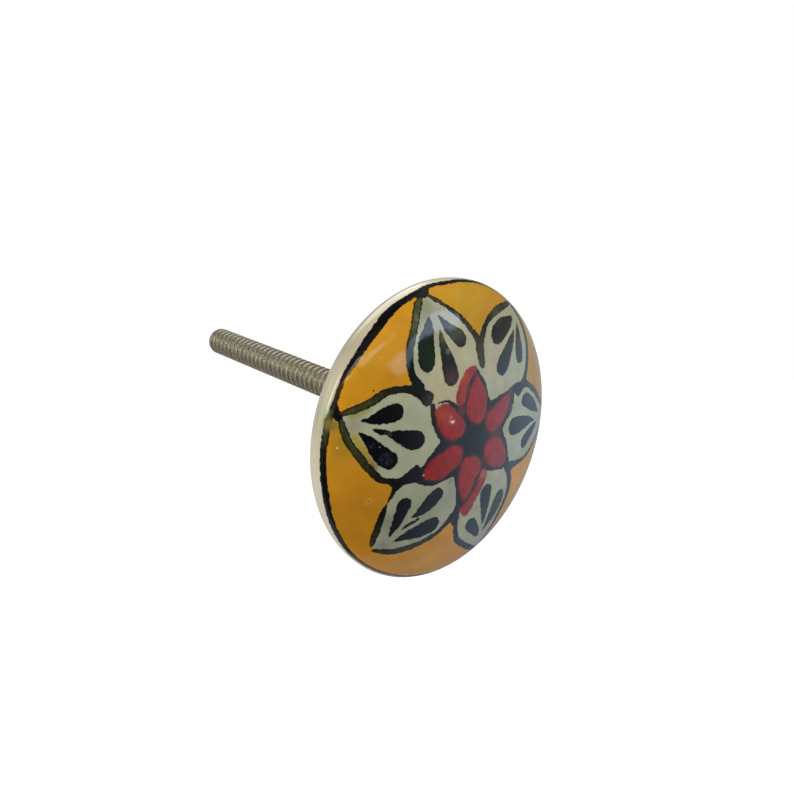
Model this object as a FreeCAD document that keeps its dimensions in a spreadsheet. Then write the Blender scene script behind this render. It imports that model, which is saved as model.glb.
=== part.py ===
import FreeCAD, Part
import math
import os
import Sketcher

# Cabinet knob: a fired and glazed ceramic head with a domed front and a short neck, a screw whose head
# is buried in the neck's socket, and the cement that holds it there.
# The knob's axis is Y. The front faces -Y, the stud runs to +Y through the door, and the origin is
# the centre of the foot, where the neck meets the door.

document = FreeCAD.newDocument("CabinetKnob")
sheet = document.addObject("Spreadsheet::Sheet", "Sizes")

# Lengths in millimetres, angles in degrees
SIZES = [
    ("head_diameter", 42.0, "widest ring of the head"),
    ("crown_rise", 6.7, "how far the painted front stands ahead of the widest ring"),
    ("rim_round", 4.1, "radius that rolls the rim over to the underside"),
    ("underside_slope", 25.0, "angle of the underside from the rim's plane"),
    ("grip_depth", 16.3, "from the door to the widest ring"),
    ("neck_diameter", 12.4, "narrowest place of the neck"),
    ("neck_round", 4.0, "hollow where the underside runs into the neck"),
    ("foot_diameter", 14.0, "foot that stands on the door"),
    ("foot_flare_round", 4.0, "hollow where the neck widens to the foot"),
    ("foot_band", 1.2, "straight band at the foot"),
    ("foot_edge_round", 0.6, "softened outer edge of the foot"),
    ("socket_mouth_diameter", 7.6, "mouth of the socket in the foot"),
    ("socket_diameter", 8.6, "socket behind its lip, wider so that the set cement is locked in"),
    ("socket_lip", 2.0, "length of the narrow mouth"),
    ("socket_lip_taper", 1.2, "length over which the mouth widens"),
    ("socket_depth", 12.5, "from the foot to the end of the socket"),
    ("cement_recess", 0.5, "how far the cement's face lies inside the mouth"),
    ("stud_diameter", 4.7, "over the thread's crests"),
    ("stud_reach", 41.0, "from the foot to the stud's tip"),
    ("stud_tip_round", 1.1, "rounded end of the stud"),
    ("shank_diameter", 4.1, "plain shank between the thread and the screw's head"),
    ("screw_head_diameter", 6.8, "buried head of the screw"),
    ("screw_head_height", 2.2, "thickness of the screw's head"),
    ("screw_head_bevel", 0.4, "bevelled face of the screw's head"),
    ("cement_bed", 1.0, "cement between the screw's head and the end of the socket"),
]
for row, (name, value, meaning) in enumerate(SIZES, start=1):
    sheet.set("A%d" % row, meaning)
    sheet.set("B%d" % row, str(value))
    sheet.setAlias("B%d" % row, name)
document.recompute()

# A sketch numbers the ends and centre of an edge from 1, and its own origin and upright axis from -1 down
START, END, CENTRE = range(1, 4)
ORIGIN, AXIS = range(-1, -3, -1)


def size(name):
    return float(sheet.get(name))


def new_body(label):
    body = document.addObject("PartDesign::Body", label)
    body.Label = label
    body.Placement = FreeCAD.Placement()
    return body


def half_section(body, name):
    """A sketch on the body's XY plane: x is the radius from the knob's axis, y lies along that axis."""
    plane = [f for f in body.Origin.OriginFeatures if f.Role == "XY_Plane"][0]
    sketch = body.newObject("Sketcher::SketchObject", name)
    sketch.AttachmentSupport = [(plane, "")]
    sketch.MapMode = "FlatFace"
    return sketch


def turn(body, sketch, kind, name):
    """Revolve a half section round the knob's axis, as a Revolution that adds or a Groove that cuts."""
    feature = body.newObject("PartDesign::" + kind, name)
    feature.Profile = sketch
    feature.ReferenceAxis = (sketch, ["V_Axis"])
    feature.Angle = 360
    sketch.Visibility = False
    return feature


def line(sketch, start, end):
    return sketch.addGeometry(Part.LineSegment(FreeCAD.Vector(*start, 0), FreeCAD.Vector(*end, 0)), False)


def arc(sketch, centre, radius, start_angle, end_angle):
    circle = Part.Circle(FreeCAD.Vector(*centre, 0), FreeCAD.Vector(0, 0, 1), radius)
    return sketch.addGeometry(Part.ArcOfCircle(circle, start_angle, end_angle), False)


def relate(sketch, *relations):
    """Add relations that hold no size, each a tuple of the kind and the ends it joins."""
    for relation in relations:
        sketch.addConstraint(Sketcher.Constraint(*relation))


def bind(sketch, name, expression, *relation):
    """Add one dimension, named and bound to the sheet."""
    index = sketch.addConstraint(Sketcher.Constraint(*relation))
    sketch.renameConstraint(index, name)
    sketch.setExpression("Constraints." + name, expression)


def cylinder_wall(sketch, edge, end, name, expression, radius):
    """A line parallel to the axis, at a radius bound to the sheet."""
    relate(sketch, ("Vertical", edge))
    bind(sketch, name, expression, "DistanceX", ORIGIN, START, edge, end, radius)


def ceramic_head():
    body = new_body("ceramic_head")
    sketch = half_section(body, "head_section")
    radius = size("head_diameter") / 2
    widest = -size("grip_depth")
    rise = size("crown_rise")
    roll = size("rim_round")
    slope = math.radians(size("underside_slope"))
    neck = size("neck_diameter") / 2
    hollow = size("neck_round")
    foot = size("foot_diameter") / 2
    flare = size("foot_flare_round")
    band = size("foot_band")

    # Where the sketch's edges meet, so that the solver starts on the answer
    rim_end = (radius - roll + roll * math.sin(slope), widest + roll * math.cos(slope))
    hollow_turn = math.pi / 2 - slope
    tangent = hollow * math.tan(hollow_turn / 2)
    corner = (neck, rim_end[1] + (rim_end[0] - neck) * math.tan(slope))
    under_end = (corner[0] + tangent * math.cos(slope), corner[1] - tangent * math.sin(slope))
    neck_start = (neck, corner[1] + tangent)
    flare_turn = math.acos(1 - (foot - neck) / flare)
    neck_end = (neck, -band - flare * math.sin(flare_turn))

    crown = sketch.addGeometry(Part.ArcOfEllipse(
        Part.Ellipse(FreeCAD.Vector(0, widest, 0), radius, rise), -math.pi / 2, 0), False)
    sketch.exposeInternalGeometry(crown)
    crown_width, crown_height = crown + 1, crown + 2
    rim = arc(sketch, (radius - roll, widest), roll, 0, math.pi / 2 - slope)
    underside = line(sketch, rim_end, under_end)
    neck_hollow = arc(sketch, (neck + hollow, neck_start[1]), hollow, math.pi, math.pi + hollow_turn)
    neck_wall = line(sketch, neck_start, neck_end)
    foot_flare = arc(sketch, (neck + flare, neck_end[1]), flare, math.pi - flare_turn, math.pi)
    foot_wall = line(sketch, (foot, -band), (foot, 0))
    foot_face = line(sketch, (foot, 0), (0, 0))
    centre_line = line(sketch, (0, 0), (0, widest - rise))

    relate(
        sketch,
        ("PointOnObject", crown, CENTRE, AXIS),
        ("PointOnObject", crown, START, AXIS),
        ("Horizontal", crown_width),
        ("Horizontal", crown, CENTRE, crown, END),
        ("Coincident", crown, END, rim, START),
        ("Horizontal", rim, CENTRE, rim, START),
        ("Tangent", rim, END, underside, START),
        ("Tangent", underside, END, neck_hollow, END),
        ("Tangent", neck_hollow, START, neck_wall, START),
        ("Tangent", neck_wall, END, foot_flare, END),
        ("Coincident", foot_flare, START, foot_wall, START),
        ("Coincident", foot_wall, END, foot_face, START),
        ("Horizontal", foot_face),
        ("Coincident", foot_face, END, ORIGIN, START),
        ("Coincident", centre_line, START, foot_face, END),
        ("Coincident", centre_line, END, crown, START),
    )
    bind(sketch, "head_width", "Sizes.head_diameter", "Distance", crown_width, radius * 2)
    bind(sketch, "crown_height", "Sizes.crown_rise * 2", "Distance", crown_height, rise * 2)
    bind(sketch, "grip_depth", "Sizes.grip_depth", "DistanceY", crown, CENTRE, ORIGIN, START, -widest)
    bind(sketch, "rim_round", "Sizes.rim_round", "Radius", rim, roll)
    bind(sketch, "underside_slope", "180 - Sizes.underside_slope", "Angle", underside, math.pi - slope)
    bind(sketch, "neck_round", "Sizes.neck_round", "Radius", neck_hollow, hollow)
    cylinder_wall(sketch, neck_wall, END, "neck_radius", "Sizes.neck_diameter / 2", neck)
    bind(sketch, "foot_flare_round", "Sizes.foot_flare_round", "Radius", foot_flare, flare)
    cylinder_wall(sketch, foot_wall, END, "foot_radius", "Sizes.foot_diameter / 2", foot)
    bind(sketch, "foot_band", "Sizes.foot_band", "Distance", foot_wall, band)
    turn(body, sketch, "Revolution", "head_blank")
    document.recompute()

    turn(body, socket_section(body, "socket_hollow"), "Groove", "socket")
    document.recompute()

    dress_edge(body, "Fillet", "foot_edge", foot, 0, "Radius", "Sizes.foot_edge_round")
    return body


def round_edge(shape, radius, place):
    """The name of the circular edge of the given radius at the given place along the axis."""
    for number, edge in enumerate(shape.Edges, start=1):
        if not edge.Degenerated and isinstance(edge.Curve, Part.Circle):
            if abs(edge.Curve.Radius - radius) < 1e-5 and abs(edge.Curve.Center.y - place) < 1e-5:
                return "Edge%d" % number
    raise ValueError("no round edge of radius %.3f at %.3f" % (radius, place))


def dress_edge(body, kind, name, radius, place, measure, expression):
    """Fillet or chamfer the body's circular edge of that radius at that place along the axis."""
    base = body.Tip
    edge = round_edge(base.Shape, radius, place)
    feature = body.newObject("PartDesign::" + kind, name)
    feature.Base = (base, [edge])
    feature.setExpression(measure, expression)
    document.recompute()


def socket_section(body, name, recess=None):
    """The socket's half section from the foot's plane, or from as far inside it as the named recess says."""
    sketch = half_section(body, name)
    mouth = size("socket_mouth_diameter") / 2
    wide = size("socket_diameter") / 2
    lip = size("socket_lip")
    taper = size("socket_lip_taper")
    depth = size("socket_depth")
    start = size(recess) if recess else 0

    mouth_face = line(sketch, (0, -start), (mouth, -start))
    lip_wall = line(sketch, (mouth, -start), (mouth, -lip))
    taper_wall = line(sketch, (mouth, -lip), (wide, -lip - taper))
    wide_wall = line(sketch, (wide, -lip - taper), (wide, -depth))
    end_face = line(sketch, (wide, -depth), (0, -depth))
    centre_line = line(sketch, (0, -depth), (0, -start))

    chain = [mouth_face, lip_wall, taper_wall, wide_wall, end_face, centre_line]
    for edge, following in zip(chain, chain[1:] + chain[:1]):
        relate(sketch, ("Coincident", edge, END, following, START))
    relate(
        sketch,
        ("Horizontal", mouth_face),
        ("Horizontal", end_face),
        ("PointOnObject", end_face, END, AXIS),
    )
    if recess:
        relate(sketch, ("PointOnObject", mouth_face, START, AXIS))
        bind(sketch, "recess", "Sizes." + recess, "DistanceY", mouth_face, START, ORIGIN, START, start)
    else:
        relate(sketch, ("Coincident", mouth_face, START, ORIGIN, START))
    cylinder_wall(sketch, lip_wall, END, "mouth_radius", "Sizes.socket_mouth_diameter / 2", mouth)
    cylinder_wall(sketch, wide_wall, END, "socket_radius", "Sizes.socket_diameter / 2", wide)
    bind(sketch, "lip", "Sizes.socket_lip", "DistanceY", lip_wall, END, ORIGIN, START, lip)
    bind(sketch, "taper", "Sizes.socket_lip_taper", "DistanceY", taper_wall, END, taper_wall, START, taper)
    bind(sketch, "depth", "Sizes.socket_depth", "DistanceY", end_face, END, ORIGIN, START, depth)
    return sketch


def screw_section(body, name):
    """The screw's half section: buried head, plain shank, and the stud over its thread's crests."""
    sketch = half_section(body, name)
    head = size("screw_head_diameter") / 2
    head_top = size("socket_depth") - size("cement_bed")
    head_foot = head_top - size("screw_head_height")
    shank = size("shank_diameter") / 2
    stud = size("stud_diameter") / 2
    thread_start = size("cement_recess")
    reach = size("stud_reach")
    tip = size("stud_tip_round")

    head_face = line(sketch, (0, -head_top), (head, -head_top))
    head_wall = line(sketch, (head, -head_top), (head, -head_foot))
    head_seat = line(sketch, (head, -head_foot), (shank, -head_foot))
    shank_wall = line(sketch, (shank, -head_foot), (shank, -thread_start))
    thread_face = line(sketch, (shank, -thread_start), (stud, -thread_start))
    stud_wall = line(sketch, (stud, -thread_start), (stud, reach - tip))
    tip_arc = arc(sketch, (stud - tip, reach - tip), tip, 0, math.pi / 2)
    tip_face = line(sketch, (stud - tip, reach), (0, reach))
    centre_line = line(sketch, (0, reach), (0, -head_top))

    for edge, following in (
        (head_face, head_wall), (head_wall, head_seat), (head_seat, shank_wall), (shank_wall, thread_face),
        (thread_face, stud_wall), (tip_face, centre_line), (centre_line, head_face),
    ):
        relate(sketch, ("Coincident", edge, END, following, START))
    relate(
        sketch,
        ("Tangent", stud_wall, END, tip_arc, START),
        ("Tangent", tip_arc, END, tip_face, START),
        ("Horizontal", head_face),
        ("Horizontal", head_seat),
        ("Horizontal", thread_face),
        ("Horizontal", tip_face),
        ("PointOnObject", head_face, START, AXIS),
        ("PointOnObject", tip_face, END, AXIS),
    )
    cylinder_wall(sketch, head_wall, END, "head_radius", "Sizes.screw_head_diameter / 2", head)
    cylinder_wall(sketch, shank_wall, END, "shank_radius", "Sizes.shank_diameter / 2", shank)
    cylinder_wall(sketch, stud_wall, START, "stud_radius", "Sizes.stud_diameter / 2", stud)
    bind(sketch, "head_top", "Sizes.socket_depth - Sizes.cement_bed",
         "DistanceY", head_face, START, ORIGIN, START, head_top)
    bind(sketch, "head_height", "Sizes.screw_head_height", "Distance", head_wall, head_top - head_foot)
    bind(sketch, "thread_start", "Sizes.cement_recess",
         "DistanceY", thread_face, START, ORIGIN, START, thread_start)
    bind(sketch, "reach", "Sizes.stud_reach", "DistanceY", ORIGIN, START, tip_face, END, reach)
    bind(sketch, "tip_round", "Sizes.stud_tip_round", "Radius", tip_arc, tip)
    return sketch


def bevel_screw_head(body, name):
    """Bevel the edge of the buried head's face, which the cement follows."""
    radius = size("screw_head_diameter") / 2
    place = size("cement_bed") - size("socket_depth")
    dress_edge(body, "Chamfer", name, radius, place, "Size", "Sizes.screw_head_bevel")


def socket_cement():
    body = new_body("socket_cement")
    turn(body, socket_section(body, "cement_section", "cement_recess"), "Revolution", "cement_fill")
    document.recompute()
    turn(body, screw_section(body, "screw_hollow"), "Groove", "screw_bed")
    document.recompute()
    bevel_screw_head(body, "screw_bed_edge")
    return body


def threaded_stud():
    body = new_body("threaded_stud")
    turn(body, screw_section(body, "screw_section"), "Revolution", "screw_blank")
    document.recompute()
    bevel_screw_head(body, "screw_head_edge")
    return body


pieces = [ceramic_head(), socket_cement(), threaded_stud()]
document.recompute()

for item in document.Objects:
    if "Invalid" in item.State or "Error" in item.State:
        raise RuntimeError("%s didn't build: %s" % (item.Label, item.State))
for piece in pieces:
    if piece.Shape.isNull() or not piece.Shape.isValid() or len(piece.Shape.Solids) != 1:
        raise RuntimeError("%s isn't one valid solid" % piece.Label)

os.makedirs("parts", exist_ok=True)
for piece in pieces:
    piece.Shape.exportStep("parts/%s.step" % piece.Label)
    box = piece.Shape.BoundBox
    print("%s volume %.1f mm3, Y %.2f to %.2f, radius %.2f"
          % (piece.Label, piece.Shape.Volume, box.YMin, box.YMax, box.XMax))
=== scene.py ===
import math

import bmesh
import bpy
import numpy as np
from mathutils import Matrix, Vector


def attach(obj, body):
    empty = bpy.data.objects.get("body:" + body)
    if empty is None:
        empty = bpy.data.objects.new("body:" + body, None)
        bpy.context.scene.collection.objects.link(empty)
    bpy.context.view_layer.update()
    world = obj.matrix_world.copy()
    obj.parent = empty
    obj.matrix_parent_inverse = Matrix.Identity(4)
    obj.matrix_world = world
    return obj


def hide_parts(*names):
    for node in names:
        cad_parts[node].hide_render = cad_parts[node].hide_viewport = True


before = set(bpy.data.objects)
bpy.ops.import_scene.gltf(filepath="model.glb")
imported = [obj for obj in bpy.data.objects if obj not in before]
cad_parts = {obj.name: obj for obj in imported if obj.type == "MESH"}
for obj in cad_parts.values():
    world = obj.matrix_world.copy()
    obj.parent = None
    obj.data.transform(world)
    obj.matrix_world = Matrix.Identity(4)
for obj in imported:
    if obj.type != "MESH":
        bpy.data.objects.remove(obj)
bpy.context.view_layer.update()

# The head is one piece of turned white earthenware, 42 mm across, on a waisted neck that widens to a
# 14 mm foot. Its face carries a hand-painted six-petalled flower under a clear fired glaze, and the rim
# and back keep the cream ground. The body is closed, with the blind socket that takes the screw.

MM = 0.001


def arc(centre_r, centre_y, radius, start, end, steps):
    """Points of the half section along an arc, with angles in degrees from the outward direction."""
    turn = np.radians(np.linspace(start, end, steps + 1)[1:])
    return [(centre_r + radius * math.cos(a), centre_y + radius * math.sin(a)) for a in turn]


def run(start, end, steps):
    """Evenly spaced points of the half section along a straight line."""
    return [(start[0] + (end[0] - start[0]) * k / steps, start[1] + (end[1] - start[1]) * k / steps)
            for k in range(1, steps + 1)]


# half section of the head in mm, radius and distance along the axis, from the apex round to the socket's end
CROWN_RADIUS = 21.0
CROWN_RISE = 6.7
WIDEST = -16.3
RIM_CENTRE = 16.9
RIM_ROUND = 4.1
swing = np.linspace(0, math.pi / 2, 4001)
crown_r = CROWN_RADIUS * np.sin(swing)
crown_y = WIDEST - CROWN_RISE * np.cos(swing)
crown_length = np.concatenate([[0], np.cumsum(np.hypot(np.diff(crown_r), np.diff(crown_y)))])
FACE_RINGS = 112
at = np.linspace(0, crown_length[-1], FACE_RINGS + 1)
section = list(zip(np.interp(at, crown_length, crown_r), np.interp(at, crown_length, crown_y)))
section += arc(RIM_CENTRE, WIDEST, RIM_ROUND, 0, 65, 16)
section += run((18.633, -12.584), (8.509, -7.863), 26)
section += arc(10.2, -4.238, 4.0, 245, 180, 14)[:-1] + [(6.2, -4.238)]
section += [(6.2, -3.6)] + arc(10.2, -3.6, 4.0, 180, 143.13, 8)
section += [(7.0, -0.6)] + arc(6.4, -0.6, 0.6, 0, 90, 6)
section += run((6.4, 0.0), (3.8, 0.0), 5) + run((3.8, 0.0), (3.8, -2.0), 4)
section += run((3.8, -2.0), (4.3, -3.2), 2) + run((4.3, -3.2), (4.3, -12.5), 8)
section += run((4.3, -12.5), (0.0, -12.5), 4)
section = np.array(section)
reach = np.concatenate([[0], np.cumsum(np.hypot(*np.diff(section, axis=0).T))])


def turned(name, profile, counts):
    """A closed turned mesh. Each ring has as many points as the last, or twice or half as many."""
    points, faces, first = [], [], []
    for (r, y), n in zip(profile, counts):
        first.append(len(points))
        if r < 1e-9:
            points.append((0.0, y, 0.0))
            continue
        a = np.arange(n) * 2 * math.pi / n
        points.extend(zip(r * np.cos(a), np.full(n, y), r * np.sin(a)))
    for k in range(len(profile) - 1):
        a, b, n, m = first[k], first[k + 1], counts[k], counts[k + 1]
        pole_a, pole_b = profile[k][0] < 1e-9, profile[k + 1][0] < 1e-9
        for i in range(min(n, m) if not (pole_a or pole_b) else max(n, m)):
            j = i + 1
            if pole_a:
                faces.append((a, b + i, b + j % m))
            elif pole_b:
                faces.append((a + i, b, a + j % n))
            elif n == m:
                faces.append((a + i, b + i, b + j % m, a + j % n))
            elif m > n:
                faces.append((a + i, b + 2 * i, b + 2 * i + 1))
                faces.append((a + i, b + 2 * i + 1, a + j % n))
                faces.append((a + j % n, b + 2 * i + 1, b + (2 * i + 2) % m))
            else:
                faces.append((a + 2 * i, b + i, a + 2 * i + 1))
                faces.append((a + 2 * i + 1, b + i, b + j % m))
                faces.append((a + 2 * i + 1, b + j % m, a + (2 * i + 2) % n))
    mesh = bpy.data.meshes.new(name)
    mesh.from_pydata([(x * MM, y * MM, z * MM) for x, y, z in points], [], faces)
    tidy = bmesh.new()
    tidy.from_mesh(mesh)
    bmesh.ops.recalc_face_normals(tidy, faces=tidy.faces)
    tidy.to_mesh(mesh)
    tidy.free()
    mesh.shade_smooth()
    mesh.set_sharp_from_angle(angle=math.radians(40))
    made = bpy.data.objects.new(name, mesh)
    bpy.context.scene.collection.objects.link(made)
    return made


def ring_count(k):
    """More points round the wide rings, so that the painted edges stay fine all over the face."""
    if k == 0:
        return 80
    if k <= FACE_RINGS + 6:
        return 80 if section[k][0] < 3 else 160 if section[k][0] < 6 else 320 if section[k][0] < 12 else 640
    return 320 if section[k][0] > 7.5 and k < FACE_RINGS + 50 else 160


knob = turned("knob_head", [tuple(p) for p in section], [ring_count(k) for k in range(len(section))])

# The painting is laid out on the face rolled flat: right and up from the middle in mm, along the surface.
spots_3d = np.zeros(len(knob.data.vertices) * 3)
knob.data.vertices.foreach_get("co", spots_3d)
spots_3d = spots_3d.reshape(-1, 3) / MM
ring_radius = np.hypot(spots_3d[:, 0], spots_3d[:, 2])
on_front = spots_3d[:, 1] < WIDEST + 1e-6
front_length = np.interp(ring_radius, crown_r, crown_length)
around_rim = np.arccos(np.clip((ring_radius - RIM_CENTRE) / RIM_ROUND, 0, 1))
around_rim = crown_length[-1] + RIM_ROUND * around_rim
on_rim = ~on_front & (ring_radius > 18.6) & (spots_3d[:, 1] < -12.5)
spread = np.where(on_front, front_length, np.where(on_rim, around_rim, 40.0))
flat = spots_3d[:, [0, 2]] / np.maximum(ring_radius, 1e-9)[:, None] * spread[:, None]


def smooth_curve(points, closed=False, steps=6):
    """A smooth line through the points, which may carry a width as their third value."""
    p = np.array(points, float)
    ahead = np.roll(p, -1, axis=0) if closed else np.vstack([p[1:], p[-1:]])
    behind = np.roll(p, 1, axis=0) if closed else np.vstack([p[:1], p[:-1]])
    lean = (ahead - behind) / 2
    count = len(p) if closed else len(p) - 1
    t = np.linspace(0, 1, steps, endpoint=False)[:, None]
    line = []
    for k in range(count):
        n = (k + 1) % len(p)
        line.append((2 * t**3 - 3 * t**2 + 1) * p[k] + (t**3 - 2 * t**2 + t) * lean[k]
                    + (3 * t**2 - 2 * t**3) * p[n] + (t**3 - t**2) * lean[n])
    return np.vstack(line + [p[:1] if closed else p[-1:]])


BRUSH_REACH = 1.6
FAR = 9.0


def gap_to_line(spots, line, within=BRUSH_REACH):
    """Distance from each spot to a line of points with widths, less half the width there."""
    best = np.full(len(spots), FAR)
    for (ax, ay, aw), (bx, by, bw) in zip(line, line[1:]):
        low = np.minimum((ax, ay), (bx, by)) - within
        high = np.maximum((ax, ay), (bx, by)) + within
        near = np.nonzero(((spots > low) & (spots < high)).all(1))[0]
        p = spots[near] - (ax, ay)
        step = np.array([bx - ax, by - ay])
        along = np.clip((p @ step) / max(step @ step, 1e-9), 0, 1)
        gap = np.hypot(p[:, 0] - along * step[0], p[:, 1] - along * step[1])
        best[near] = np.minimum(best[near], gap - (aw + along * (bw - aw)) / 2)
    return best


def stroke(points):
    """Signed distance in mm to the edge of one brush stroke, negative under it."""
    return gap_to_line(flat, smooth_curve(points))


def patch(points, spots=flat, within=BRUSH_REACH):
    """Signed distance to the edge of one filled patch, negative inside it."""
    line = smooth_curve(points, closed=True)
    gap = gap_to_line(spots, np.column_stack([line, np.zeros(len(line))]), within)
    near = np.nonzero(((spots > line.min(0)) & (spots < line.max(0))).all(1))[0]
    p = spots[near]
    inside = np.zeros(len(near), bool)
    for (ax, ay), (bx, by) in zip(line, line[1:]):
        if ay != by:
            crossing = ax + (p[:, 1] - ay) / (by - ay) * (bx - ax)
            inside ^= ((p[:, 1] > ay) != (p[:, 1] > by)) & (p[:, 0] < crossing)
    gap[near] = np.where(inside, -gap[near], gap[near])
    return gap


# each white petal's outline is two brush strokes of (right, up, width), both from the tip to the foot,
# each with how thin the paint lies along it, and points that close the petal at the flower
PETALS = {
    "left": (
        ([(-20.4, 4.8, 0.6), (-19, 5.3, 0.95), (-18, 5.7, 1.0), (-17, 6.2, 1.05), (-16, 6.78, 1.1),
          (-15, 7.4, 1.1), (-14, 7.75, 1), (-13, 7.9, 1), (-12, 7.9, 1), (-11, 7.85, 1.15),
          (-10.2, 7.6, 1.5)], 0.95, 0.95, 0.85, 0.35, 0.3, 0.1, 0),
        ([(-20.3, 4.0, 0.7), (-19.9, 2.65, 1.0), (-19.2, 1.25, 1.0), (-18.1, -0.1, 1.05),
          (-17.05, -1.35, 1.05), (-15.7, -2.65, 1.05), (-14.35, -3.7, 0.9), (-13, -3.95, 0.8),
          (-12, -4, 1)], 0.9, 0.95, 0.9, 0.65, 0.25, 0.1, 0.1),
        [(-8.5, 6.8), (-6.5, 5), (-5.5, 0.7), (-7.5, -3), (-9.5, -4.3)],
    ),
    "upper left": (
        ([(-8, 19.6, 0.6), (-8.7, 18.7, 1.15), (-9.3, 17.5, 1.1), (-9.75, 16.3, 1.1),
          (-10.28, 15, 1.12), (-10.75, 13.9, 1.12), (-11.05, 12.8, 1.1), (-11.15, 11.6, 1.1),
          (-11.1, 10.5, 1.05), (-10.8, 9.5, 1.1), (-10.3, 8.7, 1.3), (-9.6, 8, 1.3)],
         0.9, 0.95, 0.9, 0.5, 0.1, 0, 0),
        ([(-6.8, 19.9, 0.4), (-6, 19.4, 0.75), (-5, 18.75, 0.7), (-4, 18.05, 0.65), (-3, 17.35, 0.75),
          (-2.1, 16.6, 0.85), (-1.3, 15.8, 0.85), (-0.65, 15, 0.85), (0, 14.2, 0.9),
          (0.6, 13.4, 1)], 0.95, 0.7, 0.3, 0.2, 0.3, 0.35, 0.4),
        [(-8, 6.5), (-6.5, 5), (-3, 4), (-1, 7), (0.5, 10.5)],
    ),
    "upper right": (
        ([(10.3, 18.5, 0.6), (8.5, 18.1, 0.9), (7, 17.8, 1.1), (5.7, 17.45, 1.15), (4.6, 17, 1),
          (3.5, 16.4, 0.8), (2.6, 15.7, 0.8), (1.9, 14.9, 0.85), (1.3, 14, 0.9),
          (1, 13.2, 1)], 0.6, 0.5, 0.15, 0.1, 0.2, 0.3, 0.3),
        ([(10.9, 18.1, 0.6), (11.9, 16.4, 0.8), (12.5, 14.6, 0.9), (12.7, 12.8, 0.9), (12.5, 11, 0.9),
          (12, 9.3, 0.9), (11.5, 8.1, 1), (11, 7.1, 1.2)], 0.3, 0.1),
        [(0.8, 10.3), (0.6, 8), (2.4, 5), (6, 5), (9, 6.3)],
    ),
    "right": (
        ([(20.4, 1.2, 0.5), (18.6, 2.4, 0.7), (17, 3.6, 0.8), (15.8, 4.5, 0.9), (14.6, 5.35, 0.9),
          (13.4, 6, 0.9), (12.3, 6.5, 0.9), (11.2, 6.8, 1.2)], 0.5, 0.4, 0.3, 0.1),
        ([(20.2, 0.4, 0.4), (18, -1.4, 0.6), (16, -3, 0.7), (14.3, -4.1, 0.7), (13, -4.55, 0.65),
          (11.6, -4.7, 0.85), (10.3, -4.8, 1.1), (9.2, -4.7, 1.1)], 1.0, 0.9, 0.7, 0.4, 0.2),
        [(9.3, 6), (7.5, 5), (5, 0.7), (7.4, -3), (8.6, -4.4)],
    ),
    "lower right": (
        ([(8.3, -18.6, 0.6), (8.7, -17, 0.75), (9.3, -15, 0.8), (9.8, -13, 0.9), (10.2, -11.4, 0.95),
          (10.5, -9.9, 0.95), (10.5, -8.6, 1), (10.2, -7.3, 1), (9.6, -6.1, 1.05), (8.9, -5.1, 1.1)], 0.4, 0),
        ([(8, -18.6, 0.6), (6.6, -17.75, 0.9), (5, -16.95, 0.95), (3.4, -16.1, 0.95),
          (2, -15.25, 0.95), (0.9, -14.3, 0.95), (0.2, -13.1, 0.85), (-0.35, -11.8, 0.85),
          (-0.7, -10.6, 1)], 0.2, 0),
        [(7.5, -4.6), (4, -4), (2, -4.5), (0.5, -8), (-0.6, -9.8)],
    ),
    "lower left": (
        ([(-13.5, -13.5, 0.5), (-13.55, -12.8, 0.8), (-13.55, -12, 1.0), (-13.5, -11, 1.05),
          (-13.45, -10, 1.05), (-13.35, -9, 0.95), (-13.2, -8, 0.7), (-13.05, -7.3, 0.4)], 0.9, 0.5, 0.1, 0),
        ([(-12.9, -14.35, 0.6), (-11.5, -14.55, 0.85), (-10, -14.6, 1), (-8.5, -14.35, 1.05),
          (-7, -13.95, 1), (-5.5, -13.45, 0.9), (-4.2, -12.85, 0.85), (-3.1, -12.1, 0.8),
          (-2.2, -11.2, 0.95), (-1.5, -10.3, 1.2)], 0.4, 0.4, 0.5, 0.3, 0.1),
        [(-12.8, -6.9), (-12.4, -5.5), (-10.5, -4), (-8, -3.5), (-3, -3.8), (-1.5, -6), (-1.2, -9)],
    ),
}
# strokes that belong to no petal's side
EXTRA = [
    ([(-12.2, -4.6, 0.9), (-12.35, -5.4, 0.75), (-12.65, -6.2, 0.5), (-12.85, -6.75, 0.25)], 0.0, 0.2),
    ([(-6.75, 5.85, 0.15), (-6.0, 6.0, 0.3), (-5.2, 5.95, 0.4), (-4.4, 5.7, 0.5)], 0.1, 0.0),
]
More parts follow.
